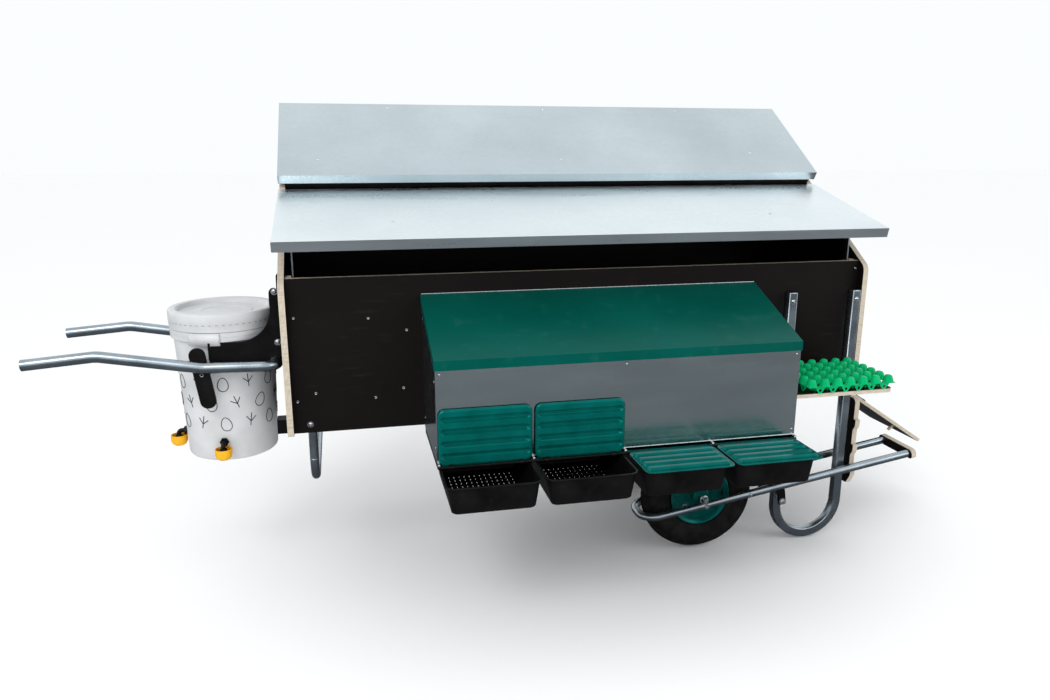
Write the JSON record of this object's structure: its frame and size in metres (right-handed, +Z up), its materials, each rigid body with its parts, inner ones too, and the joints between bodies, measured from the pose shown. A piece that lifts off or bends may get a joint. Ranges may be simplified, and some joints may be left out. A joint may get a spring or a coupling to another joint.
{
  "type": "mobile hen house with nest box",
  "caption": "Barrow-type mobile hen house with an external nest box, egg trays, drinker bucket, swinging wheel frames and a ramp door.",
  "frame": {"origin": "middle of the ground under the part, level with the bottom of the wheels", "axes": "+X along the house from the handle to the ramp, +Y from the nest box side to the back, +Z up"},
  "size_m": [2.9819, 1.2385, 1.5027],
  "materials": {
    "film_ply": "dark brown phenolic-film-faced plywood with pale ply edges, fine-mesh film texture",
    "galvanised": "zinc-coated steel sheet and tube, bluish grey, soft sheen",
    "zinc_bolt": "bright zinc-plated steel",
    "green_sheet": "dark blue-green coated steel sheet, soft sheen",
    "green_plastic": "blue-green moulded plastic, fine grain",
    "egg_tray_green": "vivid green moulded plastic",
    "black_plastic": "black moulded plastic, fine grain",
    "black_metal": "black powder coat",
    "tyre_rubber": "black tyre rubber, matt",
    "rim_paint": "blue-green enamel",
    "white_plastic": "white polypropylene, soft sheen",
    "yellow_plastic": "yellow-orange moulded plastic"
  },
  "bodies": {
    "house": {"front_wall": "film_ply", "rear_wall": "film_ply", "left_end_wall": "film_ply", "right_end_wall": "film_ply", "floor_board": "film_ply", "purlin_front": "film_ply", "roof_rear_panel": "galvanised", "roof_hinge_rod": "zinc_bolt", "left_leg_loop": "galvanised", "leg_loop_front": "galvanised", "leg_loop_rear": "galvanised", "height_rack_front": "film_ply", "height_rack_rear": "film_ply", "handle_tube": "galvanised", "bucket_plate_near": "black_metal", "bucket_plate_far": "black_metal", "bucket_stop": "black_plastic", "nest_shell": "galvanised", "nest_floor": "black_plastic", "tray_hinge_rod": "zinc_bolt", "shelf": "film_ply"},
    "roof_panel": {"roof_front_panel": "galvanised", "roof_hinge_barrel": "galvanised"},
    "prop_left": {"prop_left": "galvanised"},
    "prop_right": {"prop_right": "galvanised"},
    "nest_lid": {"nest_lid": "green_sheet"},
    "egg_tray": {"egg_tray": "egg_tray_green"},
    "ramp": {"ramp_door": "film_ply"},
    "toggle_near": {"toggle_near": "black_plastic"},
    "toggle_far": {"toggle_far": "black_plastic"},
    "bucket": {"bucket": "white_plastic", "drinker_valve_front": "black_plastic", "drinker_valve_side": "black_plastic", "drinker_cup_front": "yellow_plastic", "drinker_cup_side": "yellow_plastic"},
    "bucket_lid": {"bucket_lid": "white_plastic"},
    "tray_1": {"tray_1": "black_plastic"},
    "tray_lid_1": {"tray_lid_1": "green_plastic"},
    "tray_2": {"tray_2": "black_plastic"},
    "tray_lid_2": {"tray_lid_2": "green_plastic"},
    "tray_3": {"tray_3": "black_plastic"},
    "tray_lid_3": {"tray_lid_3": "green_plastic"},
    "tray_4": {"tray_4": "black_plastic"},
    "tray_lid_4": {"tray_lid_4": "green_plastic"},
    "wheel_frame_front": {"wheel_frame_front": "galvanised", "foot_bar_front": "film_ply", "frame_bracket_front_outer": "black_metal", "frame_bracket_front_inner": "black_metal", "pivot_bolt_front": "zinc_bolt", "axle_front": "zinc_bolt"},
    "wheel_front": {"wheel_rim_front": "rim_paint", "tyre_front": "tyre_rubber"},
    "wheel_frame_rear": {"wheel_frame_rear": "galvanised", "foot_bar_rear": "film_ply", "frame_bracket_rear_outer": "black_metal", "frame_bracket_rear_inner": "black_metal", "pivot_bolt_rear": "zinc_bolt", "axle_rear": "zinc_bolt"},
    "wheel_rear": {"wheel_rim_rear": "rim_paint", "tyre_rear": "tyre_rubber"}
  },
  "joints": [
    {"name": "roof_panel_hinge", "type": "hinge", "parent": "house", "child": "roof_panel", "pos_m": [0.1373, 0.22405, 1.215], "axis": [-1, 0, 0], "range_deg": [-18.8, 0]},
    {"name": "prop_left_hinge", "type": "hinge", "parent": "roof_panel", "child": "prop_left", "pos_m": [-0.7687, -0.08421, 1.12891], "axis": [1, 0, 0], "range_deg": [0, 75]},
    {"name": "prop_right_hinge", "type": "hinge", "parent": "roof_panel", "child": "prop_right", "pos_m": [1.0433, -0.08421, 1.12891], "axis": [1, 0, 0], "range_deg": [0, 75]},
    {"name": "nest_lid_hinge", "type": "hinge", "parent": "house", "child": "nest_lid", "pos_m": [0.1408, -0.1281, 0.92828], "axis": [-1, 0, 0], "range_deg": [0, 68]},
    {"name": "tray_lid_1_hinge", "type": "hinge", "parent": "house", "child": "tray_lid_1", "pos_m": [-0.2657, -0.4543, 0.50048], "axis": [-1, 0, 0], "range_deg": [-91.5, 0]},
    {"name": "tray_1_slide", "type": "slide", "parent": "house", "child": "tray_1", "axis": [0, -1, 0], "range_m": [0, 0.25]},
    {"name": "tray_lid_2_hinge", "type": "hinge", "parent": "house", "child": "tray_lid_2", "pos_m": [0.0053, -0.4543, 0.50048], "axis": [-1, 0, 0], "range_deg": [-91.5, 0]},
    {"name": "tray_2_slide", "type": "slide", "parent": "house", "child": "tray_2", "axis": [0, -1, 0], "range_m": [0, 0.25]},
    {"name": "tray_lid_3_hinge", "type": "hinge", "parent": "house", "child": "tray_lid_3", "pos_m": [0.2763, -0.4543, 0.50048], "axis": [-1, 0, 0], "range_deg": [0, 91.5]},
    {"name": "tray_3_slide", "type": "slide", "parent": "house", "child": "tray_3", "axis": [0, -1, 0], "range_m": [0, 0.25]},
    {"name": "tray_lid_4_hinge", "type": "hinge", "parent": "house", "child": "tray_lid_4", "pos_m": [0.5473, -0.4543, 0.50048], "axis": [-1, 0, 0], "range_deg": [0, 91.5]},
    {"name": "tray_4_slide", "type": "slide", "parent": "house", "child": "tray_4", "axis": [0, -1, 0], "range_m": [0, 0.25]},
    {"name": "wheel_frame_front_pivot", "type": "hinge", "parent": "house", "child": "wheel_frame_front", "pos_m": [0.8173, -0.1138, 0.16628], "axis": [0, -1, 0], "range_deg": [0, 30]},
    {"name": "wheel_front_spin", "type": "hinge", "parent": "wheel_frame_front", "child": "wheel_front", "pos_m": [0.52644, -0.1138, 0.2], "axis": [0, 1, 0], "continuous": true},
    {"name": "wheel_frame_rear_pivot", "type": "hinge", "parent": "house", "child": "wheel_frame_rear", "pos_m": [0.8173, 0.5272, 0.16628], "axis": [0, -1, 0], "range_deg": [0, 25]},
    {"name": "wheel_rear_spin", "type": "hinge", "parent": "wheel_frame_rear", "child": "wheel_rear", "pos_m": [0.52644, 0.5272, 0.2], "axis": [0, 1, 0], "continuous": true},
    {"name": "toggle_near_turn", "type": "hinge", "parent": "house", "child": "toggle_near", "pos_m": [-1.0402, -0.1388, 0.73828], "axis": [0, 1, 0], "range_deg": [-90, 90]},
    {"name": "toggle_far_turn", "type": "hinge", "parent": "house", "child": "toggle_far", "pos_m": [-1.0402, 0.2222, 0.73828], "axis": [0, 1, 0], "range_deg": [-90, 90]},
    {"name": "bucket_lift", "type": "slide", "parent": "house", "child": "bucket", "axis": [0, 0, 1], "range_m": [0, 0.12]},
    {"name": "bucket_lid_lift", "type": "slide", "parent": "bucket", "child": "bucket_lid", "axis": [0, 0, 1], "range_m": [0, 0.2]},
    {"name": "egg_tray_lift", "type": "slide", "parent": "house", "child": "egg_tray", "axis": [0, 0, 1], "range_m": [0, 0.15]},
    {"name": "ramp_hinge", "type": "hinge", "parent": "house", "child": "ramp", "pos_m": [1.0953, 0.1442, 0.52828], "axis": [0, -1, 0], "range_deg": [0, 123.4]}
  ]
}
